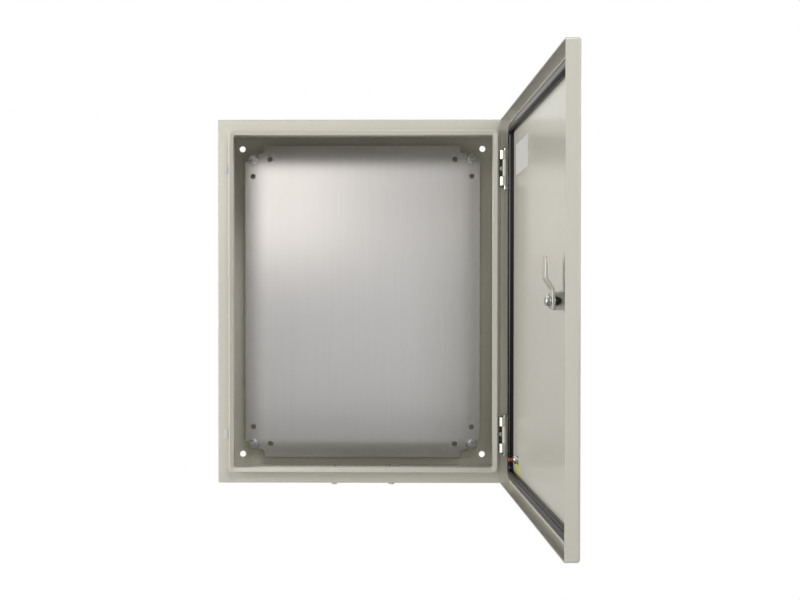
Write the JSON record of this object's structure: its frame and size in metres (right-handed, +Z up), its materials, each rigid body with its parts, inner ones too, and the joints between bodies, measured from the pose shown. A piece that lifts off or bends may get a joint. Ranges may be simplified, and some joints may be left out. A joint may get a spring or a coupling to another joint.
{
  "type": "steel wall enclosure",
  "caption": "Steel wall enclosure with a hinged door on a raised sealing lip, a quarter-turn cam lock, a removable mounting plate and open wall-fixing holes.",
  "frame": {"origin": "centre of the back's outer face, where the enclosure meets the wall", "axes": "+X to the viewer's right, +Y into the wall, +Z up"},
  "size_m": [0.4076, 0.5458, 0.5065],
  "materials": {
    "powder_coat": "light grey fine-textured powder coat",
    "galvanised_sheet": "zinc-coated sheet with vertical grain",
    "zinc_hardware": "bright zinc plate",
    "satin_zinc": "satin zinc plate",
    "nickel_casting": "nickel-plated zinc casting, smooth",
    "foam_seal": "black foamed polyurethane with a closed skin",
    "copper": "copper-coated steel",
    "grey_plastic": "moulded polyethylene",
    "white_label": "bare satin label film",
    "yellow_label": "plain yellow label film"
  },
  "bodies": {
    "body": {"body_shell": "powder_coat", "back_panel": "powder_coat", "mounting_plate": "galvanised_sheet", "plate_studs": "zinc_hardware", "plate_spacers": "zinc_hardware", "plate_washers": "zinc_hardware", "plate_nuts": "zinc_hardware", "hinge_bracket_upper": "satin_zinc", "hinge_bracket_lower": "satin_zinc", "hinge_pin_upper": "zinc_hardware", "hinge_pin_lower": "zinc_hardware", "hinge_bracket_screws": "zinc_hardware", "hinge_bracket_nuts": "zinc_hardware", "hinge_blanking_plugs": "grey_plastic", "gland_plate": "powder_coat", "gland_gasket": "foam_seal", "gland_screws": "zinc_hardware", "gland_nuts": "zinc_hardware", "body_earth_stud": "zinc_hardware", "body_earth_nut": "zinc_hardware"},
    "door": {"door_panel": "powder_coat", "door_gasket": "foam_seal", "hinge_leaf_upper": "powder_coat", "hinge_leaf_lower": "powder_coat", "lock_housing": "nickel_casting", "lock_seal": "foam_seal", "lock_nut": "zinc_hardware", "door_earth_stud": "copper", "door_earth_washer": "zinc_hardware", "door_earth_nut": "zinc_hardware", "rating_label": "white_label", "earth_label": "yellow_label"},
    "lock_rotor": {"lock_spindle": "zinc_hardware", "lock_cam": "satin_zinc", "cam_washer": "zinc_hardware", "cam_screw": "zinc_hardware"}
  },
  "joints": [
    {"name": "door_swing", "type": "hinge", "parent": "body", "child": "door", "pos_m": [0.1935, -0.1523, 0], "axis": [0, 0, 1], "range_deg": [-90, 15]},
    {"name": "lock_turn", "type": "hinge", "parent": "door", "child": "lock_rotor", "pos_m": [0.19, -0.4838, 0], "axis": [1, 0, 0], "range_deg": [0, 90]}
  ]
}
